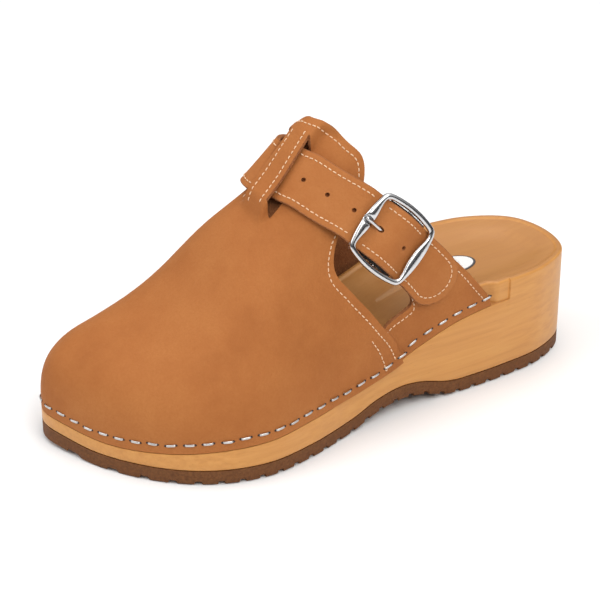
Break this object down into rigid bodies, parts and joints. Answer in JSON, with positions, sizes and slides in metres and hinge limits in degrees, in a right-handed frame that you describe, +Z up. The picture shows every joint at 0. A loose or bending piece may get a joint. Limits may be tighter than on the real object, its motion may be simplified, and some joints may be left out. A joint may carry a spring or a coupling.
{
  "type": "clog",
  "caption": "Open-heeled wooden clog for the left foot: leather upper stapled round a carved sole, with an adjustable instep strap held by a buckle.",
  "frame": {"origin": "on the floor under the middle of the clog's bounding box", "axes": "+X towards the outer side of the foot, where the buckle is; +Y towards the heel; +Z up"},
  "size_m": [0.1057, 0.2632, 0.1382],
  "materials": {
    "wood": "satin clear-coated pale alder or birch",
    "rubber": "matt mid-brown",
    "leather": "matt tan nubuck",
    "label_film": "plain white film",
    "polished_metal": "polished nickel plating",
    "elastic_webbing": "black ribbed elastic",
    "staple_wire": "bright galvanised wire"
  },
  "bodies": {
    "shoe": {"anchor_loop": "elastic_webbing", "inner_quarter": "leather", "insole_label": "label_film", "outer_quarter": "leather", "outsole": "rubber", "staple_01": "staple_wire", "staple_02": "staple_wire", "staple_03": "staple_wire", "staple_04": "staple_wire", "staple_05": "staple_wire", "staple_06": "staple_wire", "staple_07": "staple_wire", "staple_08": "staple_wire", "staple_09": "staple_wire", "staple_10": "staple_wire", "staple_11": "staple_wire", "staple_12": "staple_wire", "staple_13": "staple_wire", "staple_14": "staple_wire", "staple_15": "staple_wire", "staple_16": "staple_wire", "staple_17": "staple_wire", "staple_18": "staple_wire", "staple_19": "staple_wire", "staple_20": "staple_wire", "staple_21": "staple_wire", "staple_22": "staple_wire", "staple_23": "staple_wire", "staple_24": "staple_wire", "staple_25": "staple_wire", "staple_26": "staple_wire", "staple_27": "staple_wire", "staple_28": "staple_wire", "staple_29": "staple_wire", "staple_30": "staple_wire", "staple_31": "staple_wire", "staple_32": "staple_wire", "staple_33": "staple_wire", "staple_34": "staple_wire", "staple_35": "staple_wire", "staple_36": "staple_wire", "staple_37": "staple_wire", "staple_38": "staple_wire", "staple_39": "staple_wire", "staple_40": "staple_wire", "staple_41": "staple_wire", "staple_42": "staple_wire", "staple_43": "staple_wire", "staple_44": "staple_wire", "strap": "leather", "vamp": "leather", "wooden_sole": "wood"},
    "buckle": {"buckle_frame": "polished_metal", "buckle_pin": "polished_metal"},
    "prong": {"prong": "polished_metal"},
    "strap_tip": {"strap_tip": "leather"}
  },
  "joints": [
    {"name": "buckle_tilt", "type": "hinge", "parent": "shoe", "child": "buckle", "pos_m": [0.03109, 0.01665, 0.08889], "axis": [-0.0915, 0.7402, 0.6661], "range_deg": [-1.5, 1.5]},
    {"name": "prong_swing", "type": "hinge", "parent": "buckle", "child": "prong", "pos_m": [0.03109, 0.01665, 0.08889], "axis": [-0.0915, 0.7402, 0.6661], "range_deg": [0, 8]},
    {"name": "strap_tip_lift", "type": "hinge", "parent": "shoe", "child": "strap_tip", "pos_m": [0.03599, 0.03009, 0.07463], "axis": [0.0915, -0.7402, -0.6661], "range_deg": [0, 35]}
  ]
}
